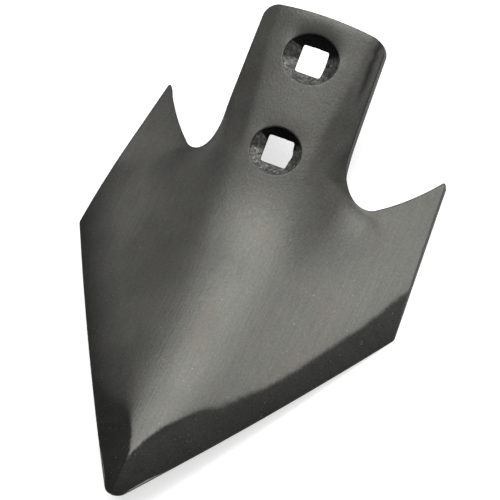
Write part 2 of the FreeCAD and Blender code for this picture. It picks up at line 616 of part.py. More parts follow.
def bevel_section(name, share, width, e_width):
    """Wedge section at a share of the cutting edge; the corner is drawn past both faces."""
    bow_here = 4 * D["edge_bow"] * share * (1 - share)
    e_bow = "(4 * Sizes.edge_bow * %g)" % (share * (1 - share))
    along_edge = share * EDGE_L
    sketch = new_sketch(name, XZ)
    a = math.radians(heading)
    sketch.AttachmentOffset = FreeCAD.Placement(
        V(along_edge * math.sin(a), 0, -along_edge * math.cos(a)),
        FreeCAD.Rotation(V(0, 1, 0), -heading))
    sketch.setExpression("AttachmentOffset.Base.x", "%g * Sizes.shoulder_x" % share)
    sketch.setExpression("AttachmentOffset.Base.z", "-%g * Sizes.shoulder_y" % share)
    sketch.setExpression("AttachmentOffset.Rotation.Angle", "-(%s)" % E_HEADING)
    # u runs outward from the straight line between the corners
    u0 = bow_here
    z0 = -TILT * bow_here + D["edge_land"]
    u1 = bow_here - width
    z1 = THICK_Z - TILT * u1
    e_u0 = e_bow
    e_z0 = "(Sizes.edge_land - (%s) * %s)" % (E_TILT, e_bow)
    e_u1 = "(%s - %s)" % (e_bow, e_width)
    e_z1 = "(%s - (%s) * %s)" % (E_THICK_Z, E_TILT, e_u1)
    far = 0.6
    out = 1.0
    pts = [
        (u0 + out * (u0 - u1), z0 + out * (z0 - z1),
         "%s + %g * (%s - %s)" % (e_u0, out, e_u0, e_u1),
         "%s + %g * (%s - %s)" % (e_z0, out, e_z0, e_z1)),
        (u0 + out * (u0 - u1), 40.0, "%s + %g * (%s - %s)" % (e_u0, out, e_u0, e_u1), None),
        (u1 + far * (u1 - u0), 40.0, "%s + %g * (%s - %s)" % (e_u1, far, e_u1, e_u0), None),
        (u1 + far * (u1 - u0), z1 + far * (z1 - z0),
         "%s + %g * (%s - %s)" % (e_u1, far, e_u1, e_u0),
         "%s + %g * (%s - %s)" % (e_z1, far, e_z1, e_z0)),
    ]
    lines = []
    for k in range(4):
        p = pts[k]
        q = pts[(k + 1) % 4]
        lines.append(sketch.addGeometry(Part.LineSegment(V(p[0], p[1], 0), V(q[0], q[1], 0))))
    for k in range(4):
        sketch.addConstraint(Sketcher.Constraint(
            "Coincident", lines[k], 2, lines[(k + 1) % 4], 1))
        at_x(sketch, lines[k], 1, pts[k][0], pts[k][2])
        at_y(sketch, lines[k], 1, pts[k][1], pts[k][3])
    return sketch


SPAN = 0.2
w_nose = D["bevel_nose_w"]
w_end = D["bevel_end_w"]
w_mid = D["bevel_mid_w"]
bevels = [
    bevel_section("BevelBeyondNose", -SPAN, w_nose + SPAN * 2 * (w_nose - w_mid),
                  "(Sizes.bevel_nose_w + %g * (Sizes.bevel_nose_w - Sizes.bevel_mid_w))"
                  % (2 * SPAN)),
    bevel_section("BevelMiddle", 0.5, w_mid, "Sizes.bevel_mid_w"),
    bevel_section("BevelBeyondShoulder", 1 + SPAN, w_end - SPAN * 2 * (w_mid - w_end),
                  "(Sizes.bevel_end_w - %g * (Sizes.bevel_mid_w - Sizes.bevel_end_w))"
                  % (2 * SPAN)),
]
doc.recompute()
right_bevel = body.newObject("PartDesign::SubtractiveLoft", "RightBevel")
right_bevel.Profile = bevels[0]
right_bevel.Sections = bevels[1:]
right_bevel.Ruled = False
cut_amount(end_cut.Shape, right_bevel)
both = body.newObject("PartDesign::Mirrored", "LeftBevel")
both.Originals = [right_bevel]
both.MirrorPlane = (YZ, [""])
body.Tip = both
cut_amount(right_bevel.Shape, both)


# Square bolt holes and their countersinks, square to the stem
square = new_sketch("SquareHoles", XY)
on_stem_plane(square)
side_half = D["hole_square"] / 2
for which in (0, 1):
    v_mid = ALONG + which * D["hole_pitch"]
    e_mid = "%s + %d * Sizes.hole_pitch" % (E_ALONG, which)
    rc = D["hole_corner_r"]
    loop = []
    quarter = [(1, 1, 0.0), (-1, 1, 90.0), (-1, -1, 180.0), (1, -1, 270.0)]
    for sx, sy, start in quarter:
        cx = sx * (side_half - rc)
        cy = v_mid + sy * (side_half - rc)
        loop.append(square.addGeometry(Part.ArcOfCircle(
            Part.Circle(V(cx, cy, 0), V(0, 0, 1), rc),
            math.radians(start), math.radians(start + 90.0))))
    flats = []
    for k in range(4):
        a = square.getPoint(loop[k], 2)
        b = square.getPoint(loop[(k + 1) % 4], 1)
        flats.append(square.addGeometry(Part.LineSegment(a, b)))
    for k in range(4):
        square.addConstraint(Sketcher.Constraint("Tangent", loop[k], 2, flats[k], 1))
        square.addConstraint(Sketcher.Constraint("Tangent", flats[k], 2, loop[(k + 1) % 4], 1))
    for k in (0, 2):
        square.addConstraint(Sketcher.Constraint("Horizontal", flats[k]))
    for k in (1, 3):
        square.addConstraint(Sketcher.Constraint("Vertical", flats[k]))
    for k in range(4):
        bound(square, Sketcher.Constraint("Radius", loop[k], rc), "Sizes.hole_corner_r")
    at_x(square, loop[0], 3, side_half - rc, "Sizes.hole_square / 2 - Sizes.hole_corner_r")
    at_x(square, loop[2], 3, rc - side_half, "Sizes.hole_corner_r - Sizes.hole_square / 2")
    at_y(square, loop[0], 3, v_mid + side_half - rc,
         "%s + Sizes.hole_square / 2 - Sizes.hole_corner_r" % e_mid)
    at_y(square, loop[2], 3, v_mid - side_half + rc,
         "%s - Sizes.hole_square / 2 + Sizes.hole_corner_r" % e_mid)
doc.recompute()
holes = body.newObject("PartDesign::Pocket", "SquareHolesCut")
holes.Profile = square
holes.SideType = "Symmetric"
holes.Type = "ThroughAll"
cut_amount(both.Shape, holes)

last = holes
spread = math.radians(D["sink_half_angle"])
for which, alias in ((0, "sink_lower_d"), (1, "sink_upper_d")):
    run = ALONG + which * D["hole_pitch"]
    e_run = "(%s + %d * Sizes.hole_pitch)" % (E_ALONG, which)
    sketch = new_sketch("Sink%d" % (which + 1), YZ)
    y_mid = D["bend_y"] + run * math.cos(steep)
    z_mid = BEND_Z + run * math.sin(steep)
    sketch.AttachmentOffset = FreeCAD.Placement(
        V(y_mid, z_mid, 0), FreeCAD.Rotation(V(0, 0, 1), D["stem_pitch"]))
    sketch.setExpression("AttachmentOffset.Base.x",
                         "Sizes.bend_y + %s * cos(Sizes.stem_pitch * 1 deg)" % e_run)
    sketch.setExpression("AttachmentOffset.Base.y",
                         "%s + %s * sin(Sizes.stem_pitch * 1 deg)" % (E_BEND_Z, e_run))
    sketch.setExpression("AttachmentOffset.Rotation.Angle", "Sizes.stem_pitch")
    radius = D[alias] / 2
    deep = radius / math.tan(spread)
    grow = 1.5
    points = [(0.0, -deep, "0", "-Sizes.%s / 2 / tan(Sizes.sink_half_angle * 1 deg)" % alias),
              (radius * grow, deep * (grow - 1), "Sizes.%s * %g" % (alias, grow / 2),
               "Sizes.%s * %g / tan(Sizes.sink_half_angle * 1 deg)" % (alias, (grow - 1) / 2)),
              (0.0, deep * (grow - 1), "0",
               "Sizes.%s * %g / tan(Sizes.sink_half_angle * 1 deg)" % (alias, (grow - 1) / 2))]
    lines = []
    for k in range(3):
        p = points[k]
        q = points[(k + 1) % 3]
        lines.append(sketch.addGeometry(Part.LineSegment(V(p[0], p[1], 0), V(q[0], q[1], 0))))
    for k in range(3):
        sketch.addConstraint(Sketcher.Constraint("Coincident", lines[k], 2, lines[(k + 1) % 3], 1))
        at_x(sketch, lines[k], 1, points[k][0], points[k][2] if k == 1 else None)
        at_y(sketch, lines[k], 1, points[k][1], points[k][3])
    doc.recompute()
    sink = body.newObject("PartDesign::Groove", "Countersink%d" % (which + 1))
    sink.Profile = sketch
    sink.ReferenceAxis = (sketch, ["V_Axis"])
    sink.Angle = 360
    cut_amount(last.Shape, sink)
    last = sink
body.Tip = last

# The sweep lies on its two straight wing edges, so the body is turned about the shoulder line
tip_z = RISE * D["tip_y"] - SLOPE * D["tip_x"]
lean = math.degrees(math.atan2(tip_z, D["tip_y"] - D["shoulder_y"]))
E_TIP_Z = "(%s) * Sizes.tip_y - tan(Sizes.wing_roll * 1 deg) * Sizes.tip_x" % E_RISE
E_LEAN = "atan((%s) / (Sizes.tip_y - Sizes.shoulder_y))" % E_TIP_Z
body.Placement = FreeCAD.Placement(
    V(0, 0, D["shoulder_y"] * math.sin(math.radians(lean))),
    FreeCAD.Rotation(V(-1, 0, 0), lean))
body.setExpression("Placement.Rotation.Angle", E_LEAN)
body.setExpression("Placement.Base.z", "Sizes.shoulder_y * sin(%s)" % E_LEAN)
doc.recompute()

# The origin is on the floor below the middle of the length
box = body.Shape.optimalBoundingBox()
middle = body.Placement.Base.y - (box.YMin + box.YMax) / 2
body.Placement = FreeCAD.Placement(
    V(0, middle, body.Placement.Base.z), body.Placement.Rotation)
doc.recompute()

shape = body.Shape
if shape.isNull() or not shape.isValid() or len(shape.Solids) != 1:
    raise RuntimeError("the sweep is not one valid solid")
for thing in doc.Objects:
    if "Invalid" in thing.State or "Error" in thing.State:
        raise RuntimeError(thing.Name + " did not build")
box = shape.optimalBoundingBox()
print("lean %.3f deg, volume %.0f mm3" % (lean, shape.Volume))
print("x %.2f to %.2f, y %.2f to %.2f, z %.2f to %.2f"
      % (box.XMin, box.XMax, box.YMin, box.YMax, box.ZMin, box.ZMax))
os.makedirs("parts", exist_ok=True)
shape.exportStep("parts/sweep.step")
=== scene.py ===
"""Cultivator sweep: the pressed steel plate with its ground edges, laid on a pale studio floor.

The plate is drawn flat in plan, in millimetres, with the nose corner at the origin and the
stem along +Y. It is cut into small cells, given its thickness and pressed to height. Then it
is laid on its wing edges, as the solid part lies.
"""
from collections import namedtuple
from math import acos, atan2, ceil, cos, hypot, pi, radians, sin, sqrt, tan

import bmesh
import bpy
import numpy as np
from bpy.props import FloatProperty, FloatVectorProperty, PointerProperty
from mathutils import Matrix, Vector, noise


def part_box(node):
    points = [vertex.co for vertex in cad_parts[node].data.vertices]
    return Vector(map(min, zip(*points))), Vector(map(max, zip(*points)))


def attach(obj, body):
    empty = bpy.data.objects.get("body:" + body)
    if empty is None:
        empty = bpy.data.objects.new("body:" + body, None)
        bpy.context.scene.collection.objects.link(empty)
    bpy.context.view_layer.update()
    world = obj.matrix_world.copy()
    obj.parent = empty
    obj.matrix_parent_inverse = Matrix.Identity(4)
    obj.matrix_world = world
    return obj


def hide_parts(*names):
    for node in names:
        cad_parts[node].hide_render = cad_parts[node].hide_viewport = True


bl_info = {
    "name": "Cultivator sweep",
    "version": (1, 0, 0),
    "blender": (4, 5, 0),
    "location": "View3D > Sidebar > Sweep",
    "description": "Builds a pressed steel cultivator sweep and its studio stage",
    "category": "Add Mesh",
}

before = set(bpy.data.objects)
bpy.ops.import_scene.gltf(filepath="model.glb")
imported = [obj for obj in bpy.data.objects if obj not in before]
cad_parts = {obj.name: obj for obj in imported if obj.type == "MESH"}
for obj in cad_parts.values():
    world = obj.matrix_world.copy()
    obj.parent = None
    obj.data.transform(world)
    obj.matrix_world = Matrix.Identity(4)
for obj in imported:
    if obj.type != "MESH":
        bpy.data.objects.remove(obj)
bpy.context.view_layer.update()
NODE = "sweep"
MM = 0.001
PLATE, BEVEL, RIM, SINK = range(4)  # material slots of the plate's faces
SHARP = radians(48)                 # edges that turn by more than this stay crisp

# a bolt hole: its place along the stem, the half widths of its countersink, how far that
# is moved up and its foot sideways, and how deep the face dips into its upper side
Hole = namedtuple("Hole", "along half_u half_v up shift dish")


def length(name, millimetres, note):
    return FloatProperty(name=name, description=note, default=millimetres * MM,
                         min=0.0, unit="LENGTH", subtype="DISTANCE", precision=5)


def angle(name, degrees, note):
    return FloatProperty(name=name, description=note, default=radians(degrees),
                         unit="ROTATION", subtype="ANGLE")


def colour(name, rgb, note):
    return FloatVectorProperty(name=name, description=note, default=rgb, size=3,
                               min=0.0, max=1.0, subtype="COLOR")


def smooth_step(value, start, end):
    """0 before start, 1 past end, and a smooth rise between them."""
    t = np.clip((value - start) / (end - start), 0, 1)
    return t * t * (3 - 2 * t)


class SweepSizes(bpy.types.PropertyGroup):
    """Sizes of the pressed plate."""
    plate_t: length("Plate", 5.2, "Thickness of the plate")
    wing_roll: angle("Wing fall", 11.1, "Fall of the wings to each side")
    shoulder_x: length("Shoulder half width", 82.1, "Half width at the widest place")
    shoulder_y: length("Shoulder station", 131.9, "Shoulders behind the nose corner")
    shoulder_r: length("Shoulder rounding", 3.5, "Rounding of the shoulders in plan")
    edge_bow: length("Edge bow", 1.4, "Outward bow of each cutting edge")
    nose_r: length("Nose rounding", 6.0, "Rounding of the nose in plan")
    tip_x: length("Tip half distance", 73.0, "Half distance between the wing tips")
    tip_y: length("Tip station", 213.9, "Wing tips behind the nose corner")
    tip_r: length("Tip rounding", 1.0, "Rounding of the wing tips")
    rear_turn: angle("Rear edge turn", 38.0, "Rear wing edge from the long axis")
    rear_bow: length("Rear edge hollow", 1.2, "Hollow of each rear wing edge")
    notch_r: length("Notch rounding", 10.2, "Rounding between stem and wing")
    stem_low_x: length("Stem half width", 32.3, "Half width of the stem at the lower hole")
    stem_top_x: length("Stem top half width", 31.5, "Half width of the stem at the upper hole")
    stem_corner_r: length("Stem corners", 6.5, "Rounding of the top corners")
    stem_top_bow: length("Top bow", 2.2, "Rise of the top edge in its middle")
    stem_end: length("Stem end", 22.0, "Top edge above the upper hole")
    crown_pitch: angle("Crown rise", 9.0, "Rise of the crown towards the stem")
    stem_pitch: angle("Stem rise", 29.0, "Rise of the stem")
    bend_y: length("Bend station", 150.8, "Where crown line and stem line meet")
    bend_z: length("Bend height", 27.40, "Height of that meeting point")
    bend_r: length("Bend radius", 128.0, "Radius between crown and stem")
    nose_top: length("Nose height", 5.1, "Height of the middle at the nose")
    apex_y: length("Apex station", 27.0, "Where the ground bevels end on the crown")
    apex_top: length("Apex height", 8.6, "Height of the middle at the apex")
    crown_low_r: length("Crown radius, nose", 50.0, "Radius across the crown near the nose")
    crown_high_r: length("Crown radius, stem", 94.0, "Radius across the crown at the stem")
    crown_low_x: length("Crown half width, nose", 8.5, "Half width of the crown arc there")
    crown_high_x: length("Crown half width, stem", 15.5, "Half width of the crown arc there")
    flank_low_r: length("Flank radius, nose", 95.0, "Radius from crown to flank")
    flank_high_r: length("Flank radius, stem", 27.0, "Radius from crown to flank")
    valley_low_r: length("Valley radius, nose", 200.0, "Radius from flank to wing")
    valley_high_r: length("Valley radius, stem", 29.0, "Radius from flank to wing")
    face_gain: length("Stem face gain", 7.0, "How much wider the stem's face gets upwards")
    side_r: length("Stem side radius", 15.0, "Radius from the stem's face to its sides")
    side_fall: angle("Stem side fall", 25.0, "Fall of the stem's two sides")
    wing_round: length("Wing rounding", 1.1, "Fall of the wings towards the bevels")
    bevel_bulge: length("Bevel bulge", 0.30, "Convexity of the ground bevels")
    bevel_nose_w: length("Bevel at nose", 14.0, "Width of the ground bevel at the nose")
    bevel_mid_w: length("Bevel halfway", 13.6, "Width of the ground bevel halfway")
    bevel_end_w: length("Bevel at shoulder", 16.2, "Width of the ground bevel at the shoulder")
    edge_land: length("Edge land", 0.5, "Blunt height of the cutting edge")
    hole_y: length("Lower hole station", 180.0, "Lower hole behind the nose corner")
    hole_pitch: length("Hole distance", 45.0, "Distance between the bolt holes")
    hole_square: length("Square hole", 13.2, "Side of the square holes")
    sink_low_u: length("Lower countersink across", 12.4, "Half width across the stem")
    sink_low_v: length("Lower countersink along", 11.2, "Half width along the stem")
    sink_high_u: length("Upper countersink across", 13.5, "Half width across the stem")
    sink_high_v: length("Upper countersink along", 12.1, "Half width along the stem")
    sink_high_up: length("Upper countersink offset", 1.0, "Its offset towards the stem's end")
    sink_foot_r: length("Countersink foot", 6.35, "Radius of the countersink at the back face")
    sink_shift: length("Lower foot offset", 0.9, "Sideways offset of the lower countersink's foot")
    dish: length("Dish", 1.0, "How far the face dips into the upper side of the upper hole")
    low_dish: length("Lower dish", 0.3, "How far it dips into the lower hole's upper side")
    rim_r: length("Rim rounding", 0.45, "Rounding of the plate's rims")
    cell: length("Cell", 1.1, "Size of the cells that the plate is cut into")


class SweepFinish(bpy.types.PropertyGroup):
    """Colours and gloss of the steel."""
    steel: colour("Steel", (0.150, 0.150, 0.138), "Dark oiled steel of the plate")
    warm: colour("Warm blotches", (0.157, 0.149, 0.134), "Faint brownish blotches")
    # the bevels and the strip ground bare get a colour about a third as bright as the plate's
    ground: colour("Ground steel", (0.046, 0.046, 0.044), "Steel of the ground bevels")
    # near-black colour of painted shade: on the countersinks' upper sides, above the holes and in
    # a streak on the stem's end
    scale: colour("Forge scale", (0.004, 0.004, 0.004), "Black scale in the countersinks")
    sink: colour("Countersinks", (0.260, 0.258, 0.244), "Rough steel of the countersinks")
    rim: colour("Rim", (0.085, 0.085, 0.082), "Dark cut rims of the plate")
    gloss: FloatProperty(name="Roughness", description="Roughness of the plate", default=0.47,
                         min=0.05, max=1.0)


class SweepStage(bpy.types.PropertyGroup):
    """Floor, lights and camera."""
    floor_colour: colour("Floor", (0.86, 0.86, 0.86), "Colour of the floor")
    camera_place: FloatVectorProperty(name="Camera", description="Place of the camera", size=3,
                                      default=(0.37547, -0.50189, 1.23771), unit="LENGTH")
    camera_aim: FloatVectorProperty(name="Aim", description="Point that the camera looks at",
                                    size=3, default=(0.00509, 0.01355, 0.01654), unit="LENGTH")
    camera_up: FloatVectorProperty(name="Up", description="Direction that is up in the picture",
                                   size=3, default=(-0.33983, 0.83047, 0.44140))
    lens: FloatProperty(name="Lens", description="Focal length in millimetres", default=212.8)


class Drawing:
    """The sizes in millimetres and radians, with the numbers that follow from them."""
    # stations, in millimetres behind the nose corner, between which a form comes in
    ONTO_STEM = (164.0, 190.0)
    PAST_NOTCH = (176.0, 200.0)
    FACE_GROWS = (178.0, 235.0)
    # half width that the stem's form takes, its gain past the notches, and the blend's sides
    STEM_REACH, NOTCH_GAIN, BLEND_IN, BLEND_OUT = 26.0, 12.0, 8.0, 4.0
    # where inside the edge the wings' rounding starts, its run, its end and its side fade
    ROUND_FROM, ROUND_RUN, ROUND_END, ROUND_SIDE = 28.0, 18.0, 1.6, (4.0, 20.0)
    FLANK_EASE = 2.6                 # power that holds flanks and valleys wide near the nose
    PITCH_FROM, PITCH_RUN = 5.0, 22.0  # where the back starts to follow the crown's pitch
    BEVEL_PAST = 0.2                 # share of the edge by which both ends are carried on
    BEVEL_REACH = 30.0               # the bevel's plane turns up farther in than this
    FOOT_SHIFT = 0.2                 # sideways offset of the upper countersink's foot

    def __init__(self, sizes):
        for key, prop in SweepSizes.bl_rna.properties.items():
            if prop.type == "FLOAT":
                value = getattr(sizes, key)
                setattr(self, key, value if prop.subtype == "ANGLE" else value / MM)
        self.slope = tan(self.wing_roll)
        self.rise = self.slope * self.shoulder_x / self.shoulder_y
        self.tilt = hypot(self.slope, self.rise)
        self.thick_z = self.plate_t * sqrt(1 + self.tilt ** 2)
        tangent = self.bend_r * tan((self.stem_pitch - self.crown_pitch) / 2)
        self.bend_from = self.bend_y - tangent * cos(self.crown_pitch)
        self.bend_to = self.bend_y + tangent * cos(self.stem_pitch)
        self.bend_cy = self.bend_from - self.bend_r * sin(self.crown_pitch)
        self.bend_cz = (self.bend_z - tangent * sin(self.crown_pitch)
                        + self.bend_r * cos(self.crown_pitch))
        stations = [0.0, self.apex_y]
        heights = [self.nose_top, self.apex_top]
        for share in (0.36, 0.64):
            y = self.apex_y + share * (self.bend_y - self.apex_y)
            stations.append(y)
            heights.append(self.bend_z - (self.bend_y - y) * tan(self.crown_pitch))
        self.nose_line = np.polyfit(stations, heights, 3)
        self.nose_line_end = stations[-1]
        self.edge_len = hypot(self.shoulder_x, self.shoulder_y)
        self.ex = self.shoulder_x / self.edge_len
        self.ey = self.shoulder_y / self.edge_len
        run = (self.hole_y - self.bend_y) / cos(self.stem_pitch)
        self.holes = [
            Hole(run, self.sink_low_u, self.sink_low_v, 0.0, self.sink_shift, self.low_dish),
            Hole(run + self.hole_pitch, self.sink_high_u, self.sink_high_v, self.sink_high_up,
                 self.FOOT_SHIFT, self.dish)]
        self.end_v = run + self.hole_pitch + self.stem_end
        tip_z = self.rise * self.tip_y - self.slope * self.tip_x
        self.lean = atan2(tip_z, self.tip_y - self.shoulder_y)

    def middle(self, y):
        """Height and pitch of the plate's middle line at stations y."""
        y = np.asarray(y, float)
        top = self.bend_z - (self.bend_y - y) * tan(self.crown_pitch)
        top = np.where(y < self.nose_line_end, np.polyval(self.nose_line, y), top)
        reach = np.clip((y - self.bend_cy) / self.bend_r, -1, 1)
        bend = self.bend_cz - self.bend_r * np.sqrt(1 - reach ** 2)
        top = np.where((y > self.bend_from) & (y < self.bend_to), bend, top)
        stem = self.bend_z + (y - self.bend_y) * tan(self.stem_pitch)
        top = np.where(y >= self.bend_to, stem, top)
        pitch = np.arcsin(np.clip(reach, sin(self.crown_pitch), sin(self.stem_pitch)))
        return top, pitch

    def pressed(self, x, y, low=False):
        """Height of the pressed plate's face, before the edges are ground."""
        x = np.abs(x)
        top, pitch = self.middle(y)
        share = np.clip((y - self.apex_y) / (self.hole_y - self.apex_y), 0, 1)
        crown_r = self.crown_low_r + (self.crown_high_r - self.crown_low_r) * share
        crown_x = self.crown_low_x + (self.crown_high_x - self.crown_low_x) * share
        late = share ** self.FLANK_EASE
        flank_r = self.flank_low_r + (self.flank_high_r - self.flank_low_r) * late
        valley_r = self.valley_low_r + (self.valley_high_r - self.valley_low_r) * late
        wing_z = self.rise * y + (0.0 if low else self.thick_z)
        stem = top - self.side_drop(x, y)
        reach = self.STEM_REACH + self.NOTCH_GAIN * smooth_step(y, *self.PAST_NOTCH)
        on_stem = smooth_step(y, *self.ONTO_STEM) * (
            1 - smooth_step(x, reach - self.BLEND_IN, reach + self.BLEND_OUT))
        if low:
            follows = np.clip((y - self.PITCH_FROM) / self.PITCH_RUN, 0, 1)
            thick = self.plate_t / np.cos(pitch * follows)
            top = top - thick
            stem = stem - thick * np.sqrt(1 + self.side_slope(x, y) ** 2)
            crown_x = crown_x * (crown_r - thick) / crown_r
            crown_r = crown_r - thick
            flank_r = flank_r - thick
            valley_r = valley_r + self.plate_t
        # arcs of crown, flank and valley, each tangent to the next, and the flat wing; the
        # flank's centre is at fx, fz and the valley's at vx, vz
        c, s = cos(self.wing_roll), sin(self.wing_roll)
        zc = top - crown_r
        sa = crown_x / crown_r
        ca = np.sqrt(1 - sa ** 2)
        fx = (crown_r - flank_r) * sa
        fz = zc + (crown_r - flank_r) * ca
        over = (fz - (wing_z - self.slope * fx)) * c
        reach = np.sqrt(np.maximum((flank_r + valley_r) ** 2 - (valley_r - over) ** 2, 0))
        run = fx * c + (wing_z - fz) * s + reach
        vx = run * c + valley_r * s
        vz = wing_z - run * s + valley_r * c
        joint = fx + (vx - fx) * flank_r / (flank_r + valley_r)
        crown = zc + np.sqrt(np.maximum(crown_r ** 2 - x ** 2, 0))
        flank = fz + np.sqrt(np.maximum(flank_r ** 2 - (x - fx) ** 2, 0))
        valley = vz - np.sqrt(np.maximum(valley_r ** 2 - (x - vx) ** 2, 0))
        wing = wing_z - self.slope * x
        height = np.where(x <= crown_r * sa, crown, flank)
        height = np.where(x > joint, valley, height)
        height = np.where(x > run * c, wing, height)
        if not low:
            way = np.clip((self.ROUND_FROM + x * self.ey - y * self.ex) / self.ROUND_RUN,
                          0, self.ROUND_END)
            height = height - self.wing_round * way ** 2 * smooth_step(x, *self.ROUND_SIDE)
        return height + (stem - height) * on_stem

    def face_x(self, y):
        """Half width of the stem's face, which grows towards the stem's end."""
        return self.crown_high_x + self.face_gain * smooth_step(y, *self.FACE_GROWS)

    def side_slope(self, x, y):
        """Slope across the stem: its face, a rounding and a straight side."""
        half = self.face_x(y)
        face = np.clip(x, 0, half) / self.crown_high_r
        turn = np.clip(face + np.maximum(x - half, 0) / self.side_r, 0, sin(self.side_fall))
        return np.tan(np.arcsin(turn))

    def side_drop(self, x, y):
        """How far the stem's face lies below its middle, measured straight down."""
        half = self.face_x(y)
        lean = half / self.crown_high_r
        bend_x = half + self.side_r * (sin(self.side_fall) - lean)
        face = self.crown_high_r - np.sqrt(self.crown_high_r ** 2 - np.minimum(x, half) ** 2)
        turn = lean + np.clip(np.minimum(x, bend_x) - half, 0, None) / self.side_r
        bend = self.side_r * (np.sqrt(1 - lean ** 2) - np.sqrt(1 - turn ** 2))
        return face + bend + np.maximum(x - bend_x, 0) * tan(self.side_fall)

    def ground(self, x, y):
        """Height of the ground bevel of the nearer cutting edge."""
        x = np.abs(x)
        share = (x * self.ex + y * self.ey) / self.edge_len
        out = x * self.ey - y * self.ex
        bow = 4 * self.edge_bow * share * (1 - share)
        # a parabola through the widths at nose, middle and shoulder, its ends carried on
        past = self.BEVEL_PAST
        nose, mid, end = self.bevel_nose_w, self.bevel_mid_w, self.bevel_end_w
        widths = (nose + 2 * past * (nose - mid), mid, end - 2 * past * (mid - end))
        parabola = np.polyfit((-past, 0.5, 1 + past), widths, 2)
        width = np.polyval(parabola, np.clip(share, 0, 1.1))
        fall = (self.thick_z - self.edge_land) / width + self.tilt
        way = np.clip((bow - out) / width, 0, 1)
        bulge = 4 * self.bevel_bulge * way * (1 - way)
        beyond = 2 * np.maximum(bow - out - self.BEVEL_REACH, 0)
        return self.edge_land - self.tilt * bow + (bow - out) * fall + bulge + beyond

    def stem_drop(self, x, v):
        """How far the stem's face falls below its middle line, measured square to the stem."""
        y = self.bend_y + v * cos(self.stem_pitch)
        return self.side_drop(np.abs(x), y) * cos(self.stem_pitch)

    def from_stem(self, u, v, w):
        """Plan frame place of a point given across, along and square to the stem."""
        c, s = cos(self.stem_pitch), sin(self.stem_pitch)
        return u, self.bend_y + v * c - w * s, self.bend_z + v * s + w * c

    def along_stem(self, y, z):
        """How far along the stem a point of the plan frame lies."""
        return ((y - self.bend_y) * cos(self.stem_pitch)
                + (z - self.bend_z) * sin(self.stem_pitch))


# ---- plan outline
def rounded(before, corner, after, radius, step):
    """Points of a rounding at a corner, from the first side to the second."""
    u = (Vector(before) - Vector(corner)).normalized()
    w = (Vector(after) - Vector(corner)).normalized()
    half = acos(max(-1.0, min(1.0, u.dot(w)))) / 2
    centre = Vector(corner) + (u + w).normalized() * (radius / sin(half))
    start = Vector(corner) + u * (radius / tan(half))
    sweep = pi - 2 * half
    turn = 1 if u.cross(w) < 0 else -1
    count = 2 * max(2, ceil(sweep * radius / step / 2))
    first = start - centre
    points = []
    for k in range(count + 1):
        a = turn * sweep * k / count
        points.append(centre + Vector((first.x * cos(a) - first.y * sin(a),
                                       first.x * sin(a) + first.y * cos(a))))
    return points


def bowed(start, end, bow, step):
    """Points strictly between two ends on a shallow arc; the bow is to the right of the way."""
    start, end = Vector(start), Vector(end)
    along = end - start
    right = Vector((along.y, -along.x)).normalized()
    count = max(2, ceil(along.length / step))
    points = []
    for k in range(1, count):
        t = k / count
        points.append(start + along * t + right * (4 * bow * t * (1 - t)))
    return points


def half_plan(d):
    """Outline of the right half in plan, from the nose to the middle of the top edge."""
    step = d.cell
    nose = (0.0, 0.0)
    shoulder = (d.shoulder_x, d.shoulder_y)
    tip = (d.tip_x, d.tip_y)

    def stem_x(y):
        return d.stem_low_x + (d.stem_top_x - d.stem_low_x) * (y - d.hole_y) / d.hole_pitch

    gain = (d.stem_top_x - d.stem_low_x) / d.hole_pitch
    t = tan(d.rear_turn)
    notch_y = (d.tip_y * t - d.tip_x + stem_x(0.0)) / (t - gain)
    notch = (stem_x(notch_y), notch_y)
    # a bowed edge leaves the nose, and reaches the shoulder, turned a little from its chord
    out = Vector((d.ey, -d.ex)) * 4 * d.edge_bow
    ahead = Vector(shoulder) + out
    nose_round = rounded((-ahead.x, ahead.y), nose, ahead, d.nose_r, 0.5)
    middle = len(nose_round) // 2
    points = [Vector((0.0, nose_round[middle].y))] + nose_round[middle + 1:]
    at_shoulder = rounded(Vector(nose) + out, shoulder, tip, d.shoulder_r, 0.5)
    left = d.edge_len - points[-1].length - (Vector(shoulder) - at_shoulder[0]).length
    bow = d.edge_bow * (left / d.edge_len) ** 2
    points += bowed(points[-1], at_shoulder[0], bow, step) + at_shoulder
    at_tip = rounded(shoulder, tip, notch, d.tip_r, 0.35)
    points += bowed(points[-1], at_tip[0], 0.0, step) + at_tip
    beyond = 300.0
    at_notch = rounded(tip, notch, (stem_x(beyond), beyond), d.notch_r, 0.7)
    points += bowed(points[-1], at_notch[0], -d.rear_bow, step) + at_notch

    # the stem's end, drawn in the stem's own plane
    def on_stem(u, v):
        drop = float(d.stem_drop(u, v))
        return Vector(d.from_stem(u, v, -drop)[:2])

    half = stem_x(on_stem(d.stem_top_x, d.end_v).y)
    corner = (half, d.end_v - d.stem_top_bow)
    tail = rounded((half, 0.0), corner, (0.0, d.end_v - d.stem_top_bow), d.stem_corner_r, 0.5)
    start = on_stem(*tail[0])
    points += bowed(points[-1], start, 0.0, step)
    for p in tail:
        lift = d.stem_top_bow * (1 - (p.x / half) ** 2)
        if p.x > half - d.stem_corner_r:
            lift = lift * (half - p.x) / d.stem_corner_r
        points.append(on_stem(p.x, p.y + lift))
    x = tail[-1].x
    count = ceil(x / step)
    for k in range(1, count + 1):
        u = x * (1 - k / count)
        points.append(on_stem(u, d.end_v - d.stem_top_bow * (u / half) ** 2))
    points[-1].x = 0.0
    return points


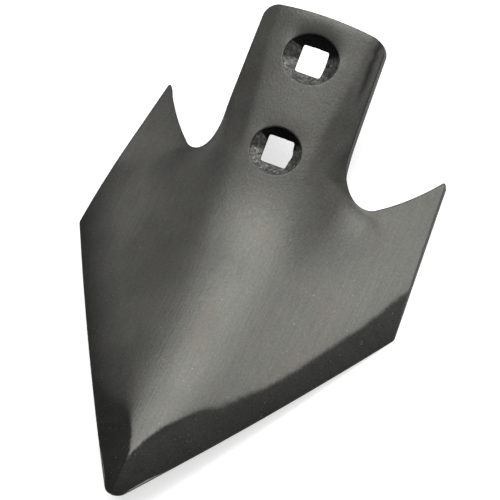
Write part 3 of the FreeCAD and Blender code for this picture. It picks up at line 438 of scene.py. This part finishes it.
def bevel_line(d):
    """Where the ground bevel meets the pressed face, from the middle out past the edge."""
    def gap(x, y):
        x, y = np.array([x]), np.array([y])
        return float(d.pressed(x, y)[0] - d.ground(x, y)[0])

    def closed(place, near, far):
        """Halves the way between two distances until the gap at that place is closed."""
        for _ in range(40):
            middle = (near + far) / 2
            near, far = (middle, far) if gap(*place(middle)) > 0 else (near, middle)
        return place(near)

    x, low = closed(lambda y: (0.0, y), 1.0, 2.2 * d.apex_y)
    points = [Vector((x, low))]
    share = 0.02
    while share < 1.3:
        along = share * d.edge_len
        x, y = closed(lambda out: (along * d.ex + out * d.ey, along * d.ey - out * d.ex),
                      -3.0, -2.4 * d.bevel_nose_w)
        if x > points[-1].x + 0.5 and y > low:
            points.append(Vector((x, y)))
        share += d.cell / d.edge_len
    return points


def crossing(outline, line):
    """First place where the line leaves the outline: indices and point."""
    for i in range(len(line) - 1):
        for j in range(len(outline) - 1):
            a, b = line[i], line[i + 1]
            p, q = outline[j], outline[j + 1]
            r, s = b - a, q - p
            cross = r.cross(s)
            if abs(cross) < 1e-12:
                continue
            t = (p - a).cross(s) / cross
            k = (p - a).cross(r) / cross
            if 0 <= t <= 1 and 0 <= k <= 1:
                return i, j, a + r * t
    raise RuntimeError("the bevel does not reach the edge of the wing")


def sink_arc(d, hole):
    """Right half of a countersink's rim in plan, from its top to its foot."""
    points = []
    count = 56
    for k in range(count + 1):
        a = pi / 2 - pi * k / count
        u = max(0.0, hole.half_u * cos(a))
        v = hole.along + hole.up + hole.half_v * sin(a)
        drop = float(d.stem_drop(u, hole.along))
        points.append(Vector(d.from_stem(u, v, -drop)[:2]))
    points[0].x = points[-1].x = 0.0
    return points


def flat_plate(d):
    """The plate in plan: two halves with their bevels and rounded rims marked."""
    outline = half_plan(d)
    line = bevel_line(d)
    i, j, meet = crossing(outline, line)
    boundary = line[:i + 1] + [meet]
    bm = bmesh.new()
    drop = bm.verts.layers.float.new("drop")

    def corner(p):
        return bm.verts.new((p.x, p.y, 0.0))

    rim = [corner(p) for p in outline]
    seam = [corner(p) for p in boundary]
    lower, upper = [[corner(p) for p in sink_arc(d, hole)] for hole in d.holes]
    bevel = bm.faces.new(rim[:j + 1] + seam[::-1])
    bevel.material_index = BEVEL
    bm.faces.new(seam + rim[j + 1:] + upper + lower)
    bmesh.ops.remove_doubles(bm, verts=bm.verts[:], dist=0.02)
    bmesh.ops.mirror(bm, geom=bm.verts[:] + bm.edges[:] + bm.faces[:], matrix=Matrix(),
                     merge_dist=1e-5, axis="X")
    bmesh.ops.recalc_face_normals(bm, faces=bm.faces[:])
    for vert in bm.verts:
        vert[drop] = 1.0 if vert.is_boundary else 0.0

    # rings beside every rim, which the rounding turns down by these angles
    inner = bm.faces[:]
    last = 0.0
    for turn in (60, 30, 0):
        away = d.rim_r * (1 - sin(radians(turn)))
        made = bmesh.ops.inset_region(bm, faces=inner, thickness=away - last,
                                      use_boundary=True, use_even_offset=True)
        last = away
        rims = set(made["faces"])
        inner = [f for f in inner if f.is_valid and f not in rims]
        inside = {v for f in inner for v in f.verts}
        for face in rims:
            face.material_index = RIM
            for vert in face.verts:
                if vert in inside:
                    vert[drop] = 1 - cos(radians(turn))
    return bm, drop


def cut_cells(bm, d):
    """Cuts the flat plate along evenly spaced lines, first across and then along."""
    for axis in (0, 1):
        reach = [v.co[axis] for v in bm.verts]
        count = ceil((max(reach) - min(reach)) / d.cell)
        start = -d.cell * ceil(-min(reach) / d.cell) if min(reach) < 0 else 0.0
        normal = Vector((1, 0, 0)) if axis == 0 else Vector((0, 1, 0))
        for k in range(count + 2):
            at = start + k * d.cell
            if abs(at) < 1e-9 and axis == 0:
                continue  # the two halves meet here already
            bmesh.ops.bisect_plane(bm, geom=bm.verts[:] + bm.edges[:] + bm.faces[:],
                                   dist=0.004, plane_co=normal * at, plane_no=normal)


def thicken(bm):
    """Gives the flat plate its second face, 1 mm higher for now, and its walls."""
    made = bmesh.ops.extrude_face_region(bm, geom=bm.faces[:])
    raised = [item for item in made["geom"] if isinstance(item, bmesh.types.BMVert)]
    bmesh.ops.translate(bm, verts=raised, vec=(0.0, 0.0, 1.0))


def ring_walls(bm, d):
    """Cuts the walls into rings: many in the countersunk holes, a few on the outer rim."""
    centres = [Vector(d.from_stem(0.0, hole.along, 0.0)[:2]) for hole in d.holes]
    hole_reach = 17.0
    posts = {SINK: [], RIM: []}
    for edge in bm.edges:
        a, b = edge.verts
        if abs(a.co.z - b.co.z) < 0.5:
            continue
        wall = SINK if min((a.co.xy - c).length for c in centres) < hole_reach else RIM
        posts[wall].append(edge)
        for face in edge.link_faces:
            face.material_index = wall
    for wall, cuts in ((SINK, 12), (RIM, 3)):
        bmesh.ops.subdivide_edges(bm, edges=posts[wall], cuts=cuts, use_grid_fill=True)


def ripple(points, size, seed):
    """Smooth noise between -1 and 1 at points, of a grain size in millimetres."""
    shift = Vector((seed * 17.3, seed * 5.1, seed * 9.7))
    return np.array([noise.noise(Vector(p) / size + shift) for p in points])


class AroundHole:
    """How the plate's points lie round one bolt hole, and where its wall puts them."""
    SPREAD = 9.0                # how far past the rim the hole still moves the face and back
    WALL_PAST = 2.0             # points farther past the rim are never on the wall
    SQUARE_POWER = 14           # the higher, the sharper the corners of the square
    UPPER_SIDE = ((0.0, 60.0), (120.0, 170.0))  # degrees over which the dish comes and goes
    PITTED, PITTED_COARSE = 0.60, 0.50          # roughness of the forged wall

    def __init__(self, d, hole, x, y, top, in_wall):
        self.d, self.hole = d, hole
        v = d.along_stem(y, top) - hole.along
        self.heading = np.arctan2(v, x)
        self.across, self.ahead = np.cos(self.heading), np.sin(self.heading)
        # the rim is an oval that is moved up along the stem
        a = (self.across / hole.half_u) ** 2 + (self.ahead / hole.half_v) ** 2
        b = hole.up * self.ahead / hole.half_v ** 2
        self.rim = (b + np.sqrt(b ** 2 + a * (1 - (hole.up / hole.half_v) ** 2))) / a
        far = np.hypot(x, v)
        self.near = (far < self.rim + self.SPREAD) & (y > d.hole_y - 30)
        self.wall = self.near & in_wall & (far < self.rim + self.WALL_PAST)
        # the face rolls into the hole's upper side
        turned = np.degrees(self.heading)
        comes, goes = self.UPPER_SIDE
        self.upper_side = smooth_step(turned, *comes) * (1 - smooth_step(turned, *goes))
        fade = 1 - np.clip((far - self.rim) / self.SPREAD, 0, 1)
        self.dip = hole.dish * (self.upper_side * fade ** 2 * self.near)
        # the foot is the square, widened where the offset countersink runs through
        power = self.SQUARE_POWER
        self.square = d.hole_square / 2 / (
            np.abs(self.across) ** power + np.abs(self.ahead) ** power) ** (1 / power)
        self.cone_foot = hole.shift * self.across + np.sqrt(np.maximum(
            d.sink_foot_r ** 2 - (hole.shift * self.ahead) ** 2, 0))
        # the back is drawn in from the rim to that foot
        foot = np.maximum(self.square, self.cone_foot)
        past = np.clip(far - self.rim, 0, self.SPREAD)
        drawn = foot + past * (1 + (self.rim - foot) / self.SPREAD)
        u, v = self.across * drawn, self.ahead * drawn
        self.foot_w = -d.plate_t - d.stem_drop(u, hole.along) * 0.98
        self.back_x, self.back_y, _ = d.from_stem(u, v + hole.along, self.foot_w)

    def wall_places(self, level, rough, coarse, round_top, round_low):
        """Places of the wall's points between foot and rim: a pitted cone over a square."""
        drop = self.d.stem_drop(self.rim * self.across, self.hole.along)
        rim_w = -drop - self.hole.dish * self.upper_side
        cone = self.cone_foot + (self.rim - self.cone_foot) * level
        far = np.maximum(cone, self.square)
        pitted = np.clip(level * 3, 0, 1) * np.clip((1 - level) * 5, 0, 1)
        uneven = self.PITTED * rough + self.PITTED_COARSE * coarse
        far = far + uneven * pitted * (cone > self.square + 0.3)
        w = self.foot_w + round_low + (rim_w - round_top - self.foot_w - round_low) * level
        return self.d.from_stem(self.across * far, self.ahead * far + self.hole.along, w)


def ground_face(d, x, y, top, face, outward):
    """The plate's top after grinding, its thickness there, and how far it is ground bare."""
    along = np.abs(x) * d.ex + y * d.ey
    plan = np.column_stack((x, y, np.zeros(len(x))))
    # marks of the grinding wheel run along the edge, and differ between the two sides
    marks = np.column_stack((along, outward * 0.12, np.sign(x) * 40.0))
    wheel = 0.16 * ripple(marks, 9.0, 3)
    ground = d.ground(x, y) + wheel + 0.05 * ripple(plan, 2.6, 4)
    thickness = np.minimum(top, ground) - d.pressed(x, y, low=True)
    ground = ground - wheel * smooth_step(outward, -3.5, -0.5)
    # the boundary is worn soft on the left side
    worn = smooth_step(-x, -2.0, 6.0) * smooth_step(y, 34.0, 62.0)
    soft = 0.30 + 1.1 * worn
    over = face - ground
    blend = np.clip(0.5 - over / (2 * soft), 0, 1)
    upper = ground + (face - ground) * blend - soft * blend * (1 - blend)
    upper = np.minimum(upper, np.minimum(face, ground))
    bared = smooth_step(over, -0.12 - 1.6 * worn, 0.18 + 2.4 * worn)
    return upper, thickness, bared


def press(bm, drop_layer, d):
    """Brings every point of the plate to its pressed, ground and rounded place."""
    bm.verts.ensure_lookup_table()
    count = len(bm.verts)
    flat = np.array([v.co for v in bm.verts])
    drop = np.array([v[drop_layer] for v in bm.verts])
    x, y, level = flat[:, 0], flat[:, 1], flat[:, 2]
    plan = np.column_stack((x, y, np.zeros(count)))
    outward = np.abs(x) * d.ey - y * d.ex  # from the edge's chord, less than 0 on the plate
    top = d.pressed(x, y)
    hammered = 0.10 * ripple(plan, 23.0, 1) + 0.025 * ripple(plan, 7.0, 2)
    upper, thickness, bared = ground_face(d, x, y, top, top + hammered, outward)

    # the back's points stand square below the stem's, and straight below the wings'
    on_stem = 1 - smooth_step(np.abs(x), 16.0, 30.0)
    at_end = smooth_step(y, 205.0, 225.0)
    low_x = x.copy()
    low_y = y + (d.plate_t * sin(d.stem_pitch) * smooth_step(y, 150.0, 166.0)
                 * np.maximum(on_stem, at_end))
    holes = [AroundHole(d, hole, x, y, top, drop > 0.999) for hole in d.holes]
    halo = np.zeros(count)
    for hole in holes:
        upper = upper - hole.dip / cos(d.stem_pitch)
        halo = np.maximum(halo, hole.dip)
        low_x = np.where(hole.near, hole.back_x, low_x)
        low_y = np.where(hole.near, hole.back_y, low_y)
    back = np.column_stack((low_x, low_y, np.full(count, 50.0)))
    wavy = 0.12 * ripple(back, 19.0, 5)
    low = d.pressed(low_x, low_y, low=True) + wavy * (
        1 - smooth_step(outward, -6.0, -1.0)) * (1 - smooth_step(y, 100.0, 140.0))

    # rims rounded, but never by more than the plate's thickness there allows
    thickness = np.maximum(thickness, 0.2)
    round_top = np.minimum(d.rim_r, 0.42 * thickness)
    round_low = np.minimum(0.35, 0.35 * thickness)
    high_z = upper - round_top * drop
    low_z = low + round_low * drop
    place = np.column_stack((low_x + (x - low_x) * level, low_y + (y - low_y) * level,
                             low_z + (high_z - low_z) * level))
    rough, coarse = ripple(place, 1.7, 6), ripple(place, 4.2, 7)
    between = (level > 0.001) & (level < 0.999)
    for hole in holes:
        inside = (hole.wall & between)[:, None]
        wall = hole.wall_places(level, rough, coarse, round_top, round_low)
        place = np.where(inside, np.column_stack(wall), place)

    # painted shade: black above the holes where the face dips into them, and a dark streak along
    # the right side of the stem's end that stands in for the shade of a steep fall of the plate
    # there
    streak = np.exp(-((x - 27.6 - 0.9 * coarse) / 1.7) ** 2) * smooth_step(y, 203.0, 222.0)
    streak = streak * (1 - smooth_step(y, 236.0, 242.0))
    scale = (0.55 * halo ** 1.5 + 0.85 * streak) * (level > 0.5)
    # painted shade on the countersink walls, set by the direction round each hole
    for hole in holes:
        painted_shade_share = painted_sink_shade(hole.heading, rough, coarse)
        scale = np.where(hole.wall, painted_shade_share, scale)

    # laid on the two straight wing edges
    c, s = cos(d.lean), sin(d.lean)
    px, py, pz = place.T
    laid = np.column_stack((px, py * c + pz * s, d.shoulder_y * s - py * s + pz * c))
    return laid, scale, bared * (level > 0.5)


def painted_sink_shade(heading, rough, coarse):
    """How much painted shade darkens a countersink wall, by the direction round its hole: black on
    its upper side, dark grey on its left side and in patches on its lower right side.
    """
    degrees = np.degrees(heading) + 7.0 * coarse
    past_left = smooth_step(degrees, 148.0, 151.0)
    past_right = smooth_step(degrees, 2.0, 34.0)
    upper = past_right * (1 - past_left)
    left = np.maximum(past_left, degrees < -172.0) * 0.62
    right = smooth_step(degrees, -62.0, -15.0) * (1 - past_right) * (0.55 + 0.6 * rough)
    return np.clip(np.maximum.reduce([upper, left, right]), 0, 1)


# ---- materials
SPECK = (0.42, 0.42, 0.40)
MIX_SHARE, MIX_FIRST, MIX_SECOND, MIX_RESULT = 0, 6, 7, 2  # sockets of a colour mix node


def steel(name, base, warm, ground, dark, gloss, grain, pits, mottle=0.0):
    """Dark satin steel: cloudy tone, faint lines along the sweep, specks and fine pits."""
    material = bpy.data.materials.new(name)
    material.use_nodes = True
    tree = material.node_tree
    nodes, links = tree.nodes, tree.links
    nodes.clear()

    def add(kind, **settings):
        made = nodes.new(kind)
        for key, value in settings.items():
            setattr(made, key, value)
        return made

    def noise_at(size, detail, roughness, stretch=(1.0, 1.0, 1.0)):
        place = add("ShaderNodeMapping")
        place.inputs["Scale"].default_value = stretch
        links.new(coords.outputs["Object"], place.inputs["Vector"])
        made = add("ShaderNodeTexNoise", noise_dimensions="3D")
        made.inputs["Scale"].default_value = size
        made.inputs["Detail"].default_value = detail
        made.inputs["Roughness"].default_value = roughness
        links.new(place.outputs["Vector"], made.inputs["Vector"])
        return made.outputs["Fac"]

    def ramp(source, *stops):
        made = add("ShaderNodeValToRGB")
        while len(made.color_ramp.elements) < len(stops):
            made.color_ramp.elements.new(0.5)
        for element, (at, level) in zip(made.color_ramp.elements, stops):
            element.position = at
            element.color = (level, level, level, 1.0)
        links.new(source, made.inputs["Fac"])
        return made.outputs["Color"]

    def mixed(kind, share, first, second):
        made = add("ShaderNodeMix", data_type="RGBA", blend_type=kind)
        for key, value in ((MIX_SHARE, share), (MIX_FIRST, first), (MIX_SECOND, second)):
            if isinstance(value, bpy.types.NodeSocket):
                links.new(value, made.inputs[key])
            else:
                made.inputs[key].default_value = value if key == MIX_SHARE else (*value, 1.0)
        return made.outputs[MIX_RESULT]

    def attribute(name):
        made = add("ShaderNodeAttribute", attribute_type="GEOMETRY", attribute_name=name)
        return made.outputs["Fac"]

    coords = add("ShaderNodeTexCoord")
    clouds = noise_at(34.0, 3.0, 0.55)
    blotch = noise_at(62.0, 4.0, 0.6)
    grainy = noise_at(900.0, 2.0, 0.6)
    lines = noise_at(1500.0, 2.0, 0.5, (1.0, 0.035, 1.0))
    specks = noise_at(1250.0, 1.0, 0.4)
    # painted shade: the share by which a point is turned near black; it also takes away the
    # metal's shine and gloss there
    painted_shade_share = attribute("scale")
    tone = mixed("MIX", ramp(blotch, (0.50, 0.0), (0.68, 1.0)), base, warm)
    tone = mixed("MIX", attribute("bared"), tone, ground)
    tone = mixed("MULTIPLY", 1.0, tone, ramp(clouds, (0.30, 0.86), (0.70, 1.08)))
    tone = mixed("MULTIPLY", grain, tone, ramp(lines, (0.30, 0.72), (0.70, 1.0)))
    tone = mixed("MULTIPLY", 0.8, tone, ramp(grainy, (0.30, 0.78), (0.72, 1.0)))
    tone = mixed("MIX", ramp(specks, (0.73, 0.0), (0.80, 0.35)), tone, SPECK)
    if mottle:
        crust = noise_at(620.0, 3.0, 0.65)
        tone = mixed("MULTIPLY", mottle, tone, ramp(crust, (0.38, 0.12), (0.62, 1.0)))
        tone = mixed("MIX", ramp(crust, (0.60, 0.0), (0.70, 0.7)), tone, SPECK)
    tone = mixed("MIX", painted_shade_share, tone, dark)
    shader = add("ShaderNodeBsdfPrincipled")
    links.new(ramp(painted_shade_share, (0.0, 0.82), (0.8, 0.0)), shader.inputs["Metallic"])
    shader.inputs["Specular IOR Level"].default_value = 0.1
    links.new(tone, shader.inputs["Base Color"])
    rough = ramp(clouds, (0.25, gloss - 0.05), (0.75, gloss + 0.07))
    rough = mixed("MIX", painted_shade_share, rough, (0.8, 0.8, 0.8))
    links.new(rough, shader.inputs["Roughness"])
    bump = add("ShaderNodeBump")
    bump.inputs["Strength"].default_value = pits
    bump.inputs["Distance"].default_value = 0.00012 + 0.0003 * mottle
    relief = mixed("MIX", 0.45, ramp(grainy, (0.3, 0.0), (0.7, 1.0)),
                   ramp(lines, (0.3, 0.0), (0.7, 1.0)))
    links.new(relief, bump.inputs["Height"])
    links.new(bump.outputs["Normal"], shader.inputs["Normal"])
    out = add("ShaderNodeOutputMaterial")
    links.new(shader.outputs["BSDF"], out.inputs["Surface"])
    return material


def pale_surface(name, rgb):
    """Floor that shows near white to the camera and keeps its shadow."""
    material = bpy.data.materials.new(name)
    material.use_nodes = True
    nodes, links = material.node_tree.nodes, material.node_tree.links
    nodes.clear()
    matt = nodes.new("ShaderNodeBsdfDiffuse")
    matt.inputs["Color"].default_value = (*rgb, 1.0)
    glow = nodes.new("ShaderNodeEmission")
    seen = nodes.new("ShaderNodeLightPath")
    both = nodes.new("ShaderNodeAddShader")
    out = nodes.new("ShaderNodeOutputMaterial")
    lift = nodes.new("ShaderNodeMath")
    lift.operation = "MULTIPLY"
    lift.inputs[1].default_value = FLOOR_GLOW
    links.new(seen.outputs["Is Camera Ray"], lift.inputs[0])
    links.new(lift.outputs["Value"], glow.inputs["Strength"])
    links.new(matt.outputs["BSDF"], both.inputs[0])
    links.new(glow.outputs["Emission"], both.inputs[1])
    links.new(both.outputs["Shader"], out.inputs["Surface"])
    return material


def soft_light(name, place, aim, size, power):
    """Rectangular studio light that points at a place."""
    data = bpy.data.lights.new(name, "AREA")
    data.shape = "RECTANGLE"
    data.size, data.size_y = size
    data.energy = power
    lamp = bpy.data.objects.new(name, data)
    lamp.location = place
    lamp.rotation_euler = (Vector(aim) - Vector(place)).to_track_quat("-Z", "Y").to_euler()
    bpy.context.scene.collection.objects.link(lamp)
    return lamp


def nose_shift(laid):
    """Shift along Y that brings the laid sweep's nose to the solid part's nose."""
    low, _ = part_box(NODE)
    return low.y / MM - laid[:, 1].min()


# name, place, size in metres and power in watts of each light, and where they all point
LIGHTS = (("key_light", (-0.20, 0.34, 1.90), (1.6, 0.8), 30.0),
          ("side_light", (1.25, 0.98, 1.20), (0.9, 0.9), 16.0),
          ("left_light", (-1.80, 0.48, 0.70), (0.7, 0.7), 1.8))
LIT_PLACE = (0.0, 0.0, 0.03)
FLOOR_GLOW, AIR_GLOW = 0.6, 0.05


# ---- operators
class SWEEP_OT_plate(bpy.types.Operator):
    """Build the pressed plate with its ground edges and countersunk square holes"""
    bl_idname = "sweep.plate"
    bl_label = "Pressed plate"

    def execute(self, context):
        d = Drawing(context.scene.sweep_sizes)
        finish = context.scene.sweep_finish
        bm, drop = flat_plate(d)
        cut_cells(bm, d)
        thicken(bm)
        ring_walls(bm, d)
        laid, scale, bared = press(bm, drop, d)
        shift = nose_shift(laid)
        # painted shade, carried by each point for the material
        painted_shade_layer = bm.verts.layers.float.new("scale")
        ground_off = bm.verts.layers.float.new("bared")
        for vert, place, black, bare in zip(bm.verts, laid, scale, bared):
            vert.co = (place[0] * MM, (place[1] + shift) * MM, place[2] * MM)
            vert[painted_shade_layer] = black
            vert[ground_off] = bare
        crowded = [f for f in bm.faces if len(f.verts) > 4]
        bmesh.ops.triangulate(bm, faces=crowded)
        bmesh.ops.recalc_face_normals(bm, faces=bm.faces[:])
        for face in bm.faces:
            face.smooth = True
        for edge in bm.edges:
            if len(edge.link_faces) == 2 and edge.calc_face_angle(0.0) > SHARP:
                edge.smooth = False
        mesh = bpy.data.meshes.new("forged_sweep")
        bm.to_mesh(mesh)
        bm.free()
        piece = bpy.data.objects.new("forged_sweep", mesh)
        context.scene.collection.objects.link(piece)
        base, warm, ground, dark, rim, sink = [tuple(tone) for tone in (
            finish.steel, finish.warm, finish.ground, finish.scale, finish.rim, finish.sink)]
        gloss = finish.gloss
        for material in (steel("oiled_steel", base, warm, ground, dark, gloss, 0.42, 0.35),
                         steel("ground_steel", base, warm, ground, dark, gloss, 0.45, 0.45),
                         steel("cut_rim", rim, rim, rim, dark, gloss, 0.3, 0.4),
                         steel("countersink_steel", sink, sink, ground, dark, gloss + 0.1,
                               0.1, 1.0, 0.75)):
            mesh.materials.append(material)
        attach(piece, "root")
        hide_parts(NODE)
        return {"FINISHED"}


class SWEEP_OT_stage(bpy.types.Operator):
    """Set up the floor, the soft lights and the camera"""
    bl_idname = "sweep.stage"
    bl_label = "Studio stage"

    def execute(self, context):
        scene = context.scene
        stage = scene.sweep_stage
        bm = bmesh.new()
        bmesh.ops.create_grid(bm, x_segments=1, y_segments=1, size=4.0)
        mesh = bpy.data.meshes.new("studio_floor")
        bm.to_mesh(mesh)
        bm.free()
        mesh.materials.append(pale_surface("studio_floor", tuple(stage.floor_colour)))
        floor = bpy.data.objects.new("studio_floor", mesh)
        scene.collection.objects.link(floor)

        for name, place, size, power in LIGHTS:
            soft_light(name, place, LIT_PLACE, size, power)

        world = bpy.data.worlds.new("studio_air")
        world.use_nodes = True
        back = world.node_tree.nodes["Background"]
        back.inputs["Color"].default_value = (1.0, 1.0, 1.0, 1.0)
        back.inputs["Strength"].default_value = AIR_GLOW
        scene.world = world

        data = bpy.data.cameras.new("camera")
        data.lens = stage.lens
        data.sensor_width = 36.0
        camera = bpy.data.objects.new("camera", data)
        ahead = (Vector(stage.camera_aim) - Vector(stage.camera_place)).normalized()
        up = Vector(stage.camera_up)
        up = (up - ahead * up.dot(ahead)).normalized()
        turn = Matrix((ahead.cross(up), up, -ahead)).transposed().to_4x4()
        camera.matrix_world = Matrix.Translation(stage.camera_place) @ turn
        scene.collection.objects.link(camera)
        scene.camera = camera
        scene.view_settings.view_transform = "Standard"
        return {"FINISHED"}


class SWEEP_PT_panel(bpy.types.Panel):
    """Sweep sizes, finish and build steps"""
    bl_label = "Cultivator sweep"
    bl_idname = "SWEEP_PT_panel"
    bl_space_type = "VIEW_3D"
    bl_region_type = "UI"
    bl_category = "Sweep"

    def draw(self, context):
        layout = self.layout
        for group in (context.scene.sweep_sizes, context.scene.sweep_finish,
                      context.scene.sweep_stage):
            box = layout.box()
            for key in group.__annotations__:
                box.prop(group, key)
        for operator in (SWEEP_OT_plate, SWEEP_OT_stage):
            layout.operator(operator.bl_idname)


CLASSES = (SweepSizes, SweepFinish, SweepStage, SWEEP_OT_plate, SWEEP_OT_stage, SWEEP_PT_panel)


def register():
    for item in CLASSES:
        bpy.utils.register_class(item)
    bpy.types.Scene.sweep_sizes = PointerProperty(type=SweepSizes)
    bpy.types.Scene.sweep_finish = PointerProperty(type=SweepFinish)
    bpy.types.Scene.sweep_stage = PointerProperty(type=SweepStage)


def unregister():
    del bpy.types.Scene.sweep_stage
    del bpy.types.Scene.sweep_finish
    del bpy.types.Scene.sweep_sizes
    for item in reversed(CLASSES):
        bpy.utils.unregister_class(item)


def main():
    register()
    bpy.ops.sweep.plate()
    bpy.ops.sweep.stage()


if __name__ == "__main__":
    main()
